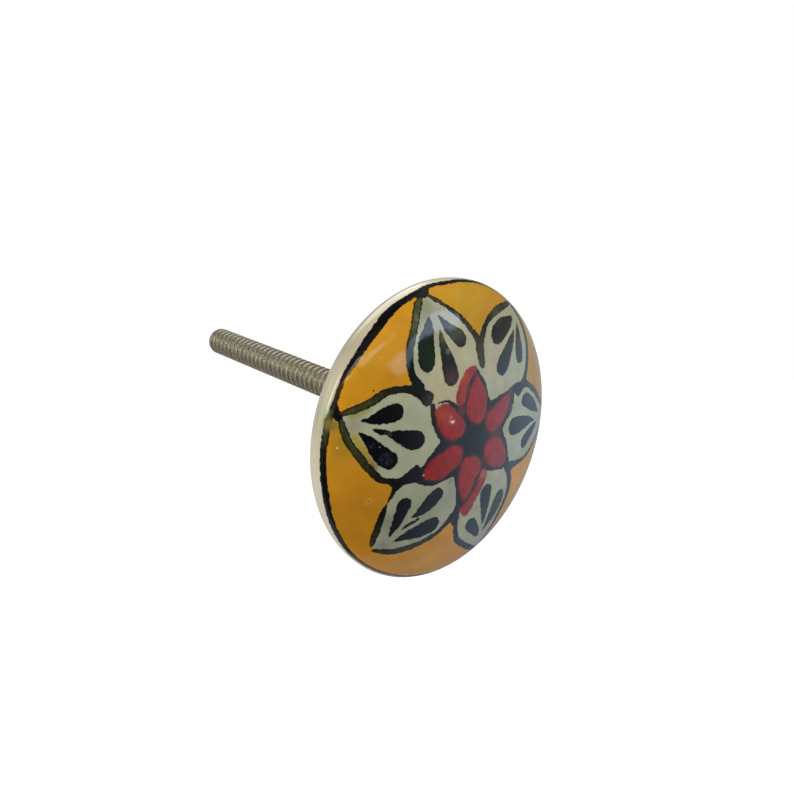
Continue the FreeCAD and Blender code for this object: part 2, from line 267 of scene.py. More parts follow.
# black fillings where petals meet each other, the rim or the flower
JUNCTIONS = [
    [(-20.85, 6.0), (-20.5, 5.2), (-20.1, 4.75), (-20.15, 4.2), (-20.5, 3.85), (-21.0, 4.0),
     (-21.4, 4.45), (-21.7, 4.9), (-21.3, 5.3)],
    [(-8.7, 20.1), (-7.6, 20.9), (-6.2, 21.6), (-6.15, 21.1), (-6.45, 20.3), (-6.9, 19.85), (-7.4, 19.6),
     (-8.0, 19.75)],
    [(-10.8, 8.5), (-10, 8.6), (-9.2, 7.95), (-8.5, 7.6), (-7.9, 7.35), (-7.6, 7.05), (-7.65, 6.5),
     (-7.95, 5.8), (-8.6, 5.5), (-9.1, 5.75), (-9.6, 6.3), (-10.2, 6.85), (-11, 7.3)],
    [(-0.55, 14.6), (-0.15, 13.9), (0.0, 13.2), (0.0, 12.4), (0.2, 11.5), (0.35, 10.8), (0.6, 10.2),
     (0.9, 9.85), (1.3, 9.9), (1.6, 10.15), (1.65, 11), (1.6, 12), (1.6, 12.8), (1.8, 13.5), (2.15, 14.3),
     (2.4, 14.9), (1.7, 15.0), (1.25, 14.7), (0.85, 14.3), (0.45, 14.6), (0.0, 15.1)],
    [(7.4, 6.6), (8.8, 7.1), (9.8, 7.2), (10.6, 7.5), (11.6, 7.6), (12, 6.8), (11.4, 6.25), (10.75, 5.95),
     (10.2, 5.5), (9.7, 5.2), (9.2, 5.3), (8.6, 5.75), (8, 6.0)],
    [(8.4, -3.2), (9.1, -4.25), (10.0, -4.3), (10.4, -5.0), (10.1, -5.6), (9.6, -6.0), (8.8, -5.7),
     (7.9, -5.0), (7.6, -4.5)],
    [(-0.1, -9.4), (-0.15, -10.2), (0.0, -11.2), (-0.9, -11.9), (-1.4, -11.25), (-2.2, -11.7),
     (-2.4, -10.9), (-1.9, -10.2), (-1.5, -9.4), (-0.8, -9.0)],
    [(-13.2, -3.55), (-12.4, -3.55), (-11.6, -3.4), (-11, -3.05), (-10.3, -2.45), (-9.7, -2.05),
     (-9.3, -2.0), (-8.9, -2.35), (-8.4, -2.6), (-7.6, -4.0), (-8, -4.85), (-8.8, -4.6), (-9.5, -4.4),
     (-10.5, -4.5), (-11.3, -4.8), (-11.9, -5.4), (-12.6, -5.6), (-12.65, -4.8), (-13.2, -4.35)],
]
# the one of them, between the two upper petals, where the paint is thinner
OPEN_V = 3
# black ground of the flower
FLOWER = [
    (-0.1, 10.1), (0.3, 9.65), (0.8, 9.0), (1.4, 8.4), (1.9, 7.7), (2.15, 6.9), (2.45, 6.1), (2.75, 5.6),
    (3.1, 5.35), (3.9, 5.6), (4.9, 5.9), (5.9, 6.1), (6.9, 6.5), (7.8, 6.8), (8.45, 6.3), (8.45, 5.6),
    (8.4, 4.8), (8.2, 4.0), (7.85, 3.1), (7.05, 2.3), (6.4, 1.6), (6.2, 0.9), (6.5, 0.3), (7.0, -0.3),
    (7.5, -1.1), (7.95, -2.0), (8.4, -3.0), (8.8, -4.0), (8.6, -4.9), (7.6, -4.85), (6.6, -4.85),
    (5.6, -4.75), (4.6, -4.65), (3.8, -4.5), (3.2, -4.4), (2.8, -5.2), (2.4, -6.2), (1.9, -7.1),
    (1.35, -8.0), (0.75, -8.8), (0.2, -9.4), (-0.8, -9.9), (-1.5, -9.4), (-1.35, -8.6), (-1.55, -7.7),
    (-1.85, -6.8), (-2.15, -6.0), (-2.4, -5.2), (-2.7, -4.6), (-3.1, -4.35), (-3.8, -4.55), (-4.6, -4.75),
    (-5.4, -4.95), (-6.2, -5.15), (-7.0, -5.05), (-8.0, -4.85), (-8.6, -3.6), (-8.6, -2.4), (-8.3, -2.0),
    (-7.9, -1.4), (-7.3, -0.75), (-6.7, -0.05), (-6.05, 0.7), (-6.5, 1.4), (-7.0, 2.15), (-7.5, 3.0),
    (-7.8, 3.9), (-8.0, 4.8), (-8.0, 5.5), (-7.75, 5.95), (-7.3, 5.8), (-7.15, 5.3), (-6.9, 4.6),
    (-5.9, 4.9), (-5.2, 5.3), (-4.6, 5.85), (-4.0, 5.75), (-3.3, 5.45), (-2.7, 5.4), (-2.6, 5.8),
    (-2.55, 6.2), (-2.4, 6.8), (-2.15, 7.5), (-1.7, 8.4), (-1.15, 9.2), (-0.5, 9.9),
]
# the red petals of the flower's middle, and two slivers beside them
RED = {
    "top": [
        (0.05, 8.8), (0.5, 8.3), (0.95, 7.7), (1.4, 7.1), (1.8, 6.3), (1.95, 5.5), (1.9, 4.6), (1.7, 3.6),
        (1.25, 2.95), (0.6, 2.75), (-0.1, 2.9), (-0.7, 3.2), (-1.2, 3.8), (-1.6, 4.6), (-1.65, 5.3),
        (-1.4, 6.2), (-1.1, 6.9), (-0.7, 7.7), (-0.3, 8.4)],
    "top sliver": [
        (-0.15, 10.1), (-0.8, 10.15), (-1.5, 9.95), (-2.2, 9.4), (-2.8, 8.6), (-3.3, 7.6), (-3.6, 6.6),
        (-3.6, 5.8), (-3.2, 5.5), (-2.65, 5.5), (-2.3, 5.9), (-2.15, 6.6), (-2.0, 7.4), (-1.7, 8.2),
        (-1.2, 8.9), (-0.6, 9.4), (-0.1, 9.8)],
    "upper right": [
        (2.35, 2.7), (2.5, 1.9), (3.0, 1.4), (3.7, 1.15), (4.5, 1.3), (5.2, 1.8), (5.8, 2.4), (6.4, 3.2),
        (6.8, 4.1), (7.1, 4.9), (7.0, 5.5), (6.2, 5.5), (5.3, 5.05), (4.4, 4.6), (3.6, 4.2), (2.9, 3.6),
        (2.45, 3.1)],
    "lower right": [
        (2.65, -1.0), (3.0, -0.4), (3.8, -0.1), (4.8, -0.05), (5.8, -0.3), (6.4, -1.0), (6.9, -1.8),
        (7.4, -2.6), (7.65, -3.4), (7.2, -4.1), (6.3, -4.25), (5.4, -4.1), (4.4, -3.7), (3.6, -3.2),
        (3.1, -2.5), (2.75, -1.7)],
    "bottom": [
        (-1.4, -2.6), (-0.9, -2.15), (0, -2.0), (0.9, -2.2), (1.6, -2.75), (2.05, -3.6), (1.9, -4.4),
        (1.45, -5.0), (1.2, -5.8), (1.0, -6.6), (0.7, -7.3), (0.15, -7.95), (-0.35, -7.7), (-0.75, -7.1),
        (-1.1, -6.5), (-1.4, -5.7), (-1.6, -4.8), (-1.65, -3.9), (-1.55, -3.1)],
    "bottom sliver": [
        (2.7, -4.35), (3.3, -4.35), (3.7, -4.9), (3.65, -5.8), (3.4, -6.6), (3.05, -7.4), (2.7, -8.1),
        (2.3, -8.8), (2.1, -9.5), (1.8, -10.2), (1.35, -10.6), (0.8, -10.5), (0.2, -10.0), (-0.2, -9.6),
        (0.2, -9.2), (0.7, -8.7), (1.25, -8.0), (1.8, -7.1), (2.25, -6.2), (2.5, -5.2)],
    "lower left": [
        (-7.95, -3.2), (-7.5, -2.3), (-6.9, -1.7), (-6.1, -1.2), (-5.3, -1.0), (-4.6, -0.55),
        (-3.9, -0.25), (-3.1, -0.25), (-2.4, -0.5), (-2.0, -1.1), (-2.0, -1.9), (-2.5, -2.7),
        (-3.3, -3.2), (-4.1, -3.6), (-4.7, -4.1), (-5.6, -4.25), (-6.5, -4.15), (-7.4, -4.0),
        (-7.85, -3.7)],
    "upper left": [
        (-7.15, 4.8), (-6.6, 5.25), (-5.9, 5.55), (-5.3, 5.5), (-4.6, 5.1), (-4.0, 4.6), (-3.5, 4.15),
        (-3.0, 3.7), (-2.4, 3.2), (-2.0, 2.6), (-2.1, 1.9), (-2.5, 1.4), (-3.3, 1.1), (-4.0, 1.0),
        (-4.6, 1.1), (-5.3, 1.55), (-5.9, 2.1), (-6.3, 2.7), (-6.6, 3.4), (-6.85, 4.1)],
}
# the black drops inside the petals, three to a petal, and a few stray touches
DROPS = [
    ([(-17.8, 4.05, 0.2), (-16.9, 4.1, 0.75), (-15.8, 4.35, 1.5), (-14.7, 4.7, 2.15), (-13.7, 4.95, 2.35),
      (-13.15, 5.1, 2.2)], 0, 0),
    ([(-13.6, 2.2, 0.9), (-12.6, 1.95, 1.6), (-11.4, 1.6, 2.2), (-10.4, 1.35, 2.6), (-9.85, 1.3, 2.5)], 0, 0),
    ([(-16.2, 3.0, 0.15), (-15.6, 2.8, 0.55), (-15.0, 2.6, 0.8), (-14.6, 2.6, 0.55)], 0, 0.1),
    ([(-14.5, 2.6, 0.4), (-14.1, 2.45, 0.6), (-13.7, 2.2, 0.8)], 0.8, 0.6),
    ([(-18.0, 2.6, 0.2), (-17.3, 2.0, 0.85), (-16.4, 1.25, 1.45), (-15.5, 0.3, 2.0), (-14.5, -0.6, 2.4),
      (-13.5, -1.15, 2.3)], 0, 0),
    ([(-7.55, 16.9, 0.3), (-7.7, 16.1, 1.05), (-7.95, 15, 1.65), (-8.4, 14, 2.3), (-8.55, 13, 2.6),
      (-8.6, 12, 2.7), (-8.6, 11.2, 2.5), (-8.6, 10.7, 1.7)], 0.1, 0.15),
    ([(-6.15, 15.1, 0.3), (-6.05, 14.2, 0.8), (-5.85, 13.2, 1.25), (-5.55, 12.2, 1.7), (-5.2, 11.2, 2.2),
      (-4.9, 10.2, 2.5), (-4.65, 9.2, 2.55)], 0.9, 0.4, 0, 0, 0),
    ([(-6.05, 17.15, 0.15), (-5.5, 16.4, 0.7), (-4.7, 15.5, 1.4), (-3.9, 14.8, 1.9), (-3.2, 14.3, 2.2),
      (-2.75, 13.9, 2.2)], 0.2, 0.1),
    ([(9.1, 14.35, 0.25), (8.3, 13.4, 1.1), (7.4, 12.2, 1.8), (6.5, 11.1, 2.2), (5.8, 10.2, 2.5),
      (5.35, 9.65, 2.4)], 0.1, 0),
    ([(10.45, 15.4, 0.2), (10.3, 14.2, 1.0), (10.1, 13, 1.6), (10.0, 12, 1.95), (9.95, 11.2, 2.0),
      (9.95, 10.7, 1.9)], 0.1, 0.1),
    ([(16.4, 1.9, 0.2), (15.4, 2.6, 1.1), (14.3, 3.2, 1.7), (13.2, 3.75, 2.0), (12.2, 4.25, 2.1),
      (11.5, 4.4, 1.9)], 0, 0),
    ([(15, 0.95, 0.3), (13.8, 1.1, 0.9), (12.5, 1.15, 1.6), (11.2, 1.1, 2.1), (10, 1.05, 2.6),
      (8.9, 1.05, 2.6)], 0, 0),
    ([(16.2, 0.4, 0.3), (15.2, -0.2, 1.2), (14.3, -0.7, 1.6), (13.4, -1.2, 1.9), (12.6, -1.75, 2.1)], 0, 0),
    ([(6.0, -13.1, 0.25), (5.75, -12, 0.9), (5.4, -10.7, 1.5), (5.0, -9.4, 2.0), (4.75, -8.4, 2.3),
      (4.6, -7.8, 2.4)], 0, 0),
    ([(6.05, -15.3, 0.2), (5.4, -14.5, 1.1), (4.5, -13.7, 1.6), (3.6, -13.0, 1.9), (2.95, -12.4, 2.0)], 0, 0),
    ([(7.0, -14.3, 0.4), (7.4, -13.0, 1.4), (7.9, -11.8, 2.1), (8.2, -10.6, 2.5), (8.3, -9.8, 2.5),
      (8.3, -9.2, 2.1)], 0.1, 0.1),
    ([(-11.35, -12.05, 0.2), (-11.2, -11.1, 0.9), (-10.85, -10, 1.5), (-10.65, -9, 1.8), (-10.5, -8.2, 2.0),
      (-10.35, -7.5, 2.25)], 0, 0),
    ([(-8.65, -9.4, 0.25), (-7.9, -8.95, 0.9), (-7.1, -8.3, 1.7), (-6.3, -7.6, 2.1), (-5.6, -6.9, 2.3),
      (-5.3, -6.6, 2.2)], 0, 0),
    ([(-7.6, -9.75, 0.4), (-8.3, -10.15, 0.5), (-9.0, -10.45, 0.5), (-9.6, -10.85, 0.4),
      (-9.9, -11.05, 0.2)], 0.2, 0.4),
    ([(-10.6, -12.85, 0.2), (-9.6, -12.5, 0.9), (-8.4, -12.05, 1.6), (-7.2, -11.75, 2.1), (-6, -11.35, 2.45),
      (-5, -11.05, 2.4), (-4.85, -10.95, 2.2)], 0, 0),
]
# the broad drop of the upper right petal
BROAD_DROP = [(3.4, 14.3), (3.6, 13.2), (4.4, 12.8), (5.6, 13), (7, 13.9), (8.3, 14.8), (9.2, 15.8),
              (9.5, 16.4), (8, 16.5), (6.3, 16.4), (5, 15.9), (4, 15.2)]
# the line round the rim, and how thin its paint lies at heights on its left side
RIM = [(0, 22.2, 0.7), (-3, 21.9, 0.75), (-5, 21.7, 0.7), (-6.5, 21.3, 0.9), (-8, 20.6, 1.0),
       (-10, 19.8, 1.0), (-12, 18.75, 1.2), (-13, 18.0, 1.25), (-14, 17.1, 1.25), (-16, 14.9, 1.15),
       (-18, 12.4, 1.0), (-19.3, 10.6, 0.85), (-20.0, 9.5, 0.75), (-20.6, 8, 0.7), (-20.95, 7, 0.7),
       (-21.2, 6, 0.7), (-21.6, 5, 0.8), (-21.9, 4, 1.0), (-22.05, 3, 1.15), (-22.15, 2, 1.05),
       (-22.25, 1, 0.95), (-22.3, 0, 0.95), (-22.25, -1, 0.95), (-22.15, -2, 0.95), (-22.0, -3, 0.95),
       (-21.6, -5, 1.0), (-21.1, -6.7, 1.0), (-20.3, -9, 0.9), (-19.3, -11.2, 0.9), (-17.6, -13.6, 0.85),
       (-15.5, -15.9, 0.85), (-13, -17.7, 0.8), (-10, -19.2, 0.75), (-6, -20.5, 0.7), (-2, -21.0, 0.7),
       (2, -21.2, 0.7), (7, -20.6, 0.7), (12, -18.4, 0.7), (16, -15, 0.7), (19, -11, 0.7),
       (21.3, -6, 0.7), (22.1, 0, 0.7), (21.6, 5, 0.7), (19.5, 10.5, 0.7), (16, 15.4, 0.7),
       (12, 18.8, 0.7), (8, 20.9, 0.7), (4, 22.0, 0.7), (0, 22.2, 0.7)]
RIM_THIN = [(-3.0, 0.0), (0.0, 0.15), (1.5, 0.8), (3.0, 1.0), (4.5, 1.0), (6.0, 0.35), (9.0, 0.2),
            (12.0, 0.0)]
# no yellow is laid nearer the middle than this
YELLOW_FROM = 11.4
# how far the yellow reaches in under the outlines
UNDERLAP = 0.15
# how far the red runs past its drawn outlines, and how high and how wide its raised edge is
RED_PAST = 0.17
RED_HEIGHT = 0.02
RED_SHOULDER = 0.45

strokes = [side for petal in PETALS.values() for side in petal[:2]]
strokes += EXTRA + DROPS
black = np.full(len(flat), FAR)
thin = np.zeros(len(flat))
for points, *thinness in strokes:
    line = smooth_curve(points)
    edge = gap_to_line(flat, line)
    share = np.zeros(len(flat))
    near = np.nonzero(edge < 1.0)[0]
    if len(near):
        away = np.hypot(flat[near, None, 0] - line[None, :, 0], flat[near, None, 1] - line[None, :, 1])
        share[near] = away.argmin(1) / (len(line) - 1)
    closer = edge < black
    thin = np.where(closer, np.interp(share, np.linspace(0, 1, len(thinness)), thinness), thin)
    black = np.where(closer, edge, black)
rim_line = stroke(RIM)
rim_thin = np.interp(flat[:, 1], *zip(*RIM_THIN)) * (flat[:, 0] < 0)
thin = np.where(rim_line < black, rim_thin, thin)
black = np.minimum(black, rim_line)
for points in [FLOWER, BROAD_DROP]:
    edge = patch(points)
    thin = np.where(edge < black, 0, thin)
    black = np.minimum(black, edge)
filled = np.full(len(flat), FAR)
for points in JUNCTIONS:
    edge = patch(points)
    thin = np.where(edge < np.minimum(black, 0.15), 0.3 if points is JUNCTIONS[OPEN_V] else 0, thin)
    filled = np.minimum(filled, edge)
black = np.minimum(black, filled)
red = np.minimum.reduce([patch(points) for points in RED.values()]) - RED_PAST
white = np.minimum(patch(FLOWER), filled)
for first, second, foot in PETALS.values():
    white = np.minimum(white, patch([p[:2] for p in first[0]] + foot + [p[:2] for p in second[0]][::-1]))
inside_rim = patch([p[:2] for p in RIM[:-1]])
yellow = np.maximum(np.maximum(inside_rim, -(white + UNDERLAP)), YELLOW_FROM - np.hypot(*flat.T))
yellow = np.maximum(yellow, -(filled + 0.1))

# the red enamel stands a little proud of the face
proud = RED_HEIGHT * np.clip(-red / RED_SHOULDER, 0, 1) ** 0.6 * on_front
normals = np.zeros(len(knob.data.vertices) * 3)
knob.data.vertices.foreach_get("normal", normals)
raised = spots_3d + normals.reshape(-1, 3) * proud[:, None]
knob.data.vertices.foreach_set("co", (raised * MM).ravel())
for name, values in (("yellow_edge", yellow), ("black_edge", black), ("black_thin", thin), ("red_edge", red),
                     ("inside_rim", inside_rim < 0)):
    knob.data.attributes.new(name, "FLOAT", "POINT").data.foreach_set("value", values.astype(np.float32))


def linear(code):
    """An sRGB colour written as six hex digits, turned linear for a shader socket."""
    parts = [int(code[k:k + 2], 16) / 255 for k in (0, 2, 4)]
    return tuple(c / 12.92 if c <= 0.04045 else ((c + 0.055) / 1.055) ** 2.4 for c in parts) + (1.0,)


def tones(name, base, stains):
    """A soft field of colour: a base tone with soft patches of other colours, among them painted shade,
    painted light and painted reflections, each given as (right, up, spread in mm, colour, strength).
    """
    field = np.tile(np.array(linear(base)), (len(flat), 1))
    for x, y, wide, colour, strength in stains:
        weight = (strength * np.exp(-((flat - (x, y)) ** 2).sum(1) / wide**2))[:, None]
        field = field * (1 - weight) + np.array(linear(colour)) * weight
    knob.data.attributes.new(name, "FLOAT_COLOR", "POINT").data.foreach_set("color", field.ravel())


# the petals' ivory: the broad patches are painted shade and light, with the lower left petal darker and the
# upper and right-hand petals lighter; the small yellow spots along the left petal's outlines are the yellow
# ground run in under the ink
tones("ivory_with_painted_shade", "A6A88C", [
    (-8.5, -9.5, 5.0, "8D907A", 0.9), (-15, 1.5, 4.5, "9FA188", 0.8), (-5.5, 9, 3.5, "B6AC88", 0.95),
    (-6, 7, 1.8, "BCB08A", 0.7), (4, 11, 3.0, "AEA68A", 0.8), (12, 1, 4.0, "AEB29C", 0.8),
    (-2, 11.5, 2.0, "B4AF8E", 0.9), (-6.6, 16.6, 1.9, "989A86", 0.85), (-7.6, 18.3, 1.4, "85866C", 0.9),
    (-18.8, 3.6, 1.3, "8E8B72", 0.9), (-12.3, -10, 1.6, "7C7D70", 0.8), (-12, -13.6, 1.2, "857D72", 0.8),
    (-3.3, -4.9, 0.6, "737A72", 0.8), (-3, -6.6, 2.0, "8E9484", 0.7), (6.8, -5.6, 1.4, "AFAE9C", 0.7),
    (7.2, -16.6, 2.0, "A8AAA6", 0.7), (-18.5, 1.85, 0.6, "98842F", 0.9),
    (-18.0, 1.2, 0.65, "9E8424", 0.95), (-17.5, 0.5, 0.7, "9E8424", 0.95),
    (-17.0, -0.15, 0.7, "9A7E22", 0.95), (-16.5, -0.85, 0.65, "947822", 0.95),
    (-16.0, -1.45, 0.6, "8A7024", 0.9), (-15.5, -1.95, 0.5, "7C6A34", 0.85),
    (-19.0, 4.65, 0.45, "8E8246", 0.9), (-18.3, 4.9, 0.45, "90843C", 0.9),
    (-17.6, 5.2, 0.45, "8E8444", 0.9), (-16.9, 5.5, 0.45, "8A844E", 0.85),
])
# the cream rim: lighter at the lower left, which is painted light, and darker along the upper left and at the
# bottom edge, which is painted shade; the green and olive smears by the left petal's tip are paint
tones("cream_with_painted_shade", "CBC2A6", [
    (-22, -11, 6.0, "DCD6C4", 0.8), (-12.3, -21.5, 2.2, "8E8672", 0.8), (-19.5, 14.5, 6.0, "AEA488", 0.9),
    (-14, 20.5, 4.0, "B2AA90", 0.8), (-23.5, 5.5, 5.0, "B4AA8F", 0.8), (-22.5, 5.0, 0.9, "A4B28A", 0.9),
    (-21.7, 3.7, 0.8, "8C7E34", 0.7),
])
tones("ochre_tone", "C5881D", [
    (0, 19.5, 5.5, "BC9124", 0.9), (12, 16, 6.0, "B98F25", 0.9), (-15, 13, 5.0, "C78C1F", 0.8),
    (-17, -9, 6.0, "B57A1B", 0.9), (-5, -18, 5.0, "C5881D", 0.9), (1, -19.5, 4.0, "D29428", 0.9),
    (-19.5, 1, 2.2, "9A7A22", 0.9), (-21.3, 3.3, 0.8, "73672C", 0.95), (14, -9, 6.0, "E8A630", 0.9),
    (13.5, 9.5, 3.0, "B08A14", 0.8), (-15.65, -6.6, 0.45, "DCA445", 0.7),
])
# near-black ink with painted reflections mixed in: the browns at (-4.8, 8.9), (0.8, 12.9) and (0.9, 10.8),
# and the bluish greys on the drops of the upper right, right and lower right petals at (12.6, 12.5), (14.5,
# 5.0), (10.3, -10.5) and (2.6, -15.4)
tones("ink_with_painted_reflection", "07080A", [
    (-7.9, 15, 1.4, "132018", 0.9), (-8.6, 12.5, 1.9, "0F251B", 0.95), (-5.5, 12.4, 1.1, "1C2A20", 0.9),
    (-4.8, 8.9, 1.2, "46261F", 0.95), (-10.6, 9.5, 1.6, "0E170F", 0.8), (-14, 7.8, 2.0, "0E180E", 0.8),
    (0.8, 12.9, 1.5, "36301F", 0.95), (0.9, 10.8, 1.2, "36301F", 0.95), (-8.2, 6.4, 0.9, "3A3A32", 0.85),
    (7.2, 5.8, 1.1, "5C2A33", 0.9), (4.5, 0.5, 1.3, "5A2228", 0.95), (7.8, 3.6, 0.8, "5C3038", 0.8),
    (-4.0, 0.3, 0.9, "301A1E", 0.8), (-2.7, 4.5, 0.9, "5A2A28", 0.95), (2.2, 3.6, 0.8, "5A3034", 0.85),
    (2.6, -2.9, 0.8, "4A242C", 0.8), (-2.1, -2.6, 0.7, "3A2026", 0.8), (2.2, -5.8, 1.0, "35202A", 0.8),
    (1.4, -8.2, 0.8, "35202A", 0.8), (-10.9, 13.0, 1.6, "0F1A1C", 0.8), (-1.9, 7.3, 0.8, "56402F", 0.95),
    (-1.2, 9.1, 0.6, "56402F", 0.8), (-10.8, 1.3, 1.8, "020304", 0.95), (5.2, 17.2, 1.4, "46472E", 0.9),
    (12.6, 12.5, 2.6, "39434B", 0.85), (10.3, -10.5, 2.6, "29313B", 0.8),
    (-6.5, 21.3, 2.0, "1A2416", 0.9), (-6.0, 14.3, 0.8, "5A4A34", 0.9), (-14.5, 4.6, 1.0, "0F0C14", 0.7),
    (10.0, -4.8, 1.2, "12302E", 0.8), (2.6, -15.4, 2.5, "1A2230", 0.8), (-8.3, -14.3, 2.2, "1C1424", 0.6),
    (-21, 8.2, 1.8, "3A2614", 0.9), (9.3, 18.3, 1.3, "3C3C38", 0.8), (14.5, 5.0, 2.4, "384047", 0.85),
])
tones("olive_tone", "2E371B", [(-9.5, 16.8, 2.4, "4C5A3C", 0.9), (-4.5, 18.6, 1.6, "48523A", 0.8)])
tones("red_tone", "921A18", [
    (-6.0, 4.4, 1.5, "A03C18", 0.95), (-2.5, 8.4, 2.0, "9C381C", 0.95), (2.9, -4.9, 0.8, "A8685E", 0.7),
    (4.5, -1.2, 1.2, "9E1E20", 0.6), (0.2, -3.4, 1.2, "A4282A", 0.6), (-4.5, -2.2, 1.8, "8A1412", 0.8),
    (0.3, 5.5, 1.5, "961C1C", 0.7), (-3.0, 6.4, 0.6, "9A3322", 0.8),
])


def add(tree, kind, inputs=None, **settings):
    """A node with its settings, and its sockets filled with values or linked to other sockets."""
    made = tree.nodes.new(kind)
    for name, value in settings.items():
        setattr(made, name, value)
    for key, value in (inputs or {}).items():
        if isinstance(value, bpy.types.NodeSocket):
            tree.links.new(value, made.inputs[key])
        else:
            made.inputs[key].default_value = value
    return made


def bare_material(name):
    """A material with an empty node tree."""
    made = bpy.data.materials.new(name)
    made.use_nodes = True
    made.node_tree.nodes.clear()
    return made


# fired decoration under clear glaze: enamel yellow, ivory petals, near-black brushwork and raised red, with
# painted shade, light and reflections in some of their colours
glaze = bare_material("painted_earthenware_clear_glaze")
tree = glaze.node_tree
place = add(tree, "ShaderNodeTexCoord").outputs["Object"]


def noise(size, detail=2.0, rough=0.5):
    """Noise with features of about this size in mm."""
    return add(tree, "ShaderNodeTexNoise", {"Vector": place, "Scale": 1 / (size * MM), "Detail": detail,
                                            "Roughness": rough}).outputs["Fac"]


def calc(operation, a, b=0.0):
    """The result of a sum of numbers or sockets."""
    return add(tree, "ShaderNodeMath", {0: a, 1: b}, operation=operation).outputs[0]


def cover(name, wobble, size, soft):
    """How far a colour covers, from its signed distance in mm, with an edge as uneven as a brush's."""
    edge = add(tree, "ShaderNodeAttribute", attribute_name=name).outputs["Fac"]
    ragged = add(tree, "ShaderNodeMapRange", {0: noise(size, 3.0), 1: 0.25, 2: 0.75, 3: -wobble, 4: wobble})
    moved = calc("ADD", edge, ragged.outputs[0])
    return add(tree, "ShaderNodeMapRange", {0: moved, 1: -soft, 2: soft, 3: 1.0, 4: 0.0},
               interpolation_type="SMOOTHSTEP").outputs[0]


def blend(amount, a, b):
    """Two colours mixed by an amount."""
    return add(tree, "ShaderNodeMix", {0: amount, 6: a, 7: b}, data_type="RGBA").outputs[2]


def tone(name, size, low, high, detail=3.0):
    """One of the soft fields of colour, mottled between two brightnesses."""
    field = add(tree, "ShaderNodeAttribute", attribute_name=name).outputs["Color"]
    mottle = add(tree, "ShaderNodeMapRange",
                 {0: noise(size, detail), 1: 0.3, 2: 0.7, 3: low, 4: high}).outputs[0]
    return add(tree, "ShaderNodeVectorMath", {0: field, 3: mottle}, operation="SCALE").outputs[0]


def speck(right, up, radius, soft):
    """How far a round speck of the given radius in mm covers, at a place on the flattened face."""
    out = math.hypot(right, up)
    out_r = float(np.interp(out, crown_length, crown_r))
    out_y = float(np.interp(out, crown_length, crown_y))
    centre = (out_r * right / out * MM, out_y * MM, out_r * up / out * MM)
    gap = add(tree, "ShaderNodeVectorMath", {0: place, 1: centre}, operation="DISTANCE").outputs[1]
    return add(tree, "ShaderNodeMapRange", {0: gap, 1: (radius - soft) * MM, 2: (radius + soft) * MM, 3: 1.0,
                                            4: 0.0}, interpolation_type="SMOOTHSTEP").outputs[0]


cream = tone("cream_with_painted_shade", 5.0, 0.93, 1.05)
ivory = tone("ivory_with_painted_shade", 2.4, 0.90, 1.08)
ochre = tone("ochre_tone", 3.0, 0.88, 1.05, 4.0)
specks = add(tree, "ShaderNodeMapRange", {0: noise(0.35, 1.0), 1: 0.68, 2: 0.78, 3: 0.0, 4: 0.4}).outputs[0]
ochre = blend(specks, ochre, linear("8A5A10"))
ground = blend(add(tree, "ShaderNodeAttribute", attribute_name="inside_rim").outputs["Fac"], cream, ivory)
painted = blend(cover("yellow_edge", 0.06, 0.7, 0.06), ground, ochre)

# the black was laid with a loaded brush: it pools dark along a stroke's edges and is thin and olive between
black_cover = cover("black_edge", 0.12, 0.5, 0.07)
black_gap = add(tree, "ShaderNodeAttribute", attribute_name="black_edge").outputs["Fac"]
depth = calc("MULTIPLY", black_gap, -1.0)
middle = add(tree, "ShaderNodeMapRange", {0: depth, 1: 0.10, 2: 0.24, 3: 0.15, 4: 1.0},
             interpolation_type="SMOOTHSTEP").outputs[0]
wash = add(tree, "ShaderNodeAttribute", attribute_name="black_thin").outputs["Fac"]
patchy = add(tree, "ShaderNodeMapRange",
             {0: noise(0.9, 4.0, 0.6), 1: 0.3, 2: 0.7, 3: 0.55, 4: 1.1}).outputs[0]
lifted = calc("MULTIPLY", calc("MULTIPLY", wash, patchy), middle)
opaque = calc("SUBTRACT", 0.998, calc("MULTIPLY", lifted, 0.05))
ink = blend(lifted, tone("ink_with_painted_reflection", 0.8, 0.75, 1.2), tone("olive_tone", 0.5, 0.45, 1.6, 4.0))
# painted reflection: bluish flecks laid in the left petal's lower drop
reflection_flecks = add(tree, "ShaderNodeMapRange", {0: noise(0.4, 3.0), 1: 0.48, 2: 0.62, 3: 0.0, 4: 0.75}).outputs[0]
for right, up, radius, soft in ((-14.1, -0.9, 0.85, 0.4), (-16.3, 1.0, 0.5, 0.3)):
    ink = blend(calc("MULTIPLY", speck(right, up, radius, soft), reflection_flecks), ink, linear("2E3540"))
bleed = add(tree, "ShaderNodeAttribute", attribute_name="red_edge").outputs["Fac"]
bleed = add(tree, "ShaderNodeMapRange", {0: bleed, 1: 0.0, 2: 0.5, 3: 0.85, 4: 0.0},
            interpolation_type="SMOOTHSTEP").outputs[0]
ink = blend(calc("MULTIPLY", bleed, patchy), ink, linear("421A1E"))
painted = blend(calc("MULTIPLY", black_cover, opaque), painted, ink)
painted = blend(cover("red_edge", 0.12, 0.4, 0.14), painted, tone("red_tone", 0.9, 0.72, 1.16, 4.0))
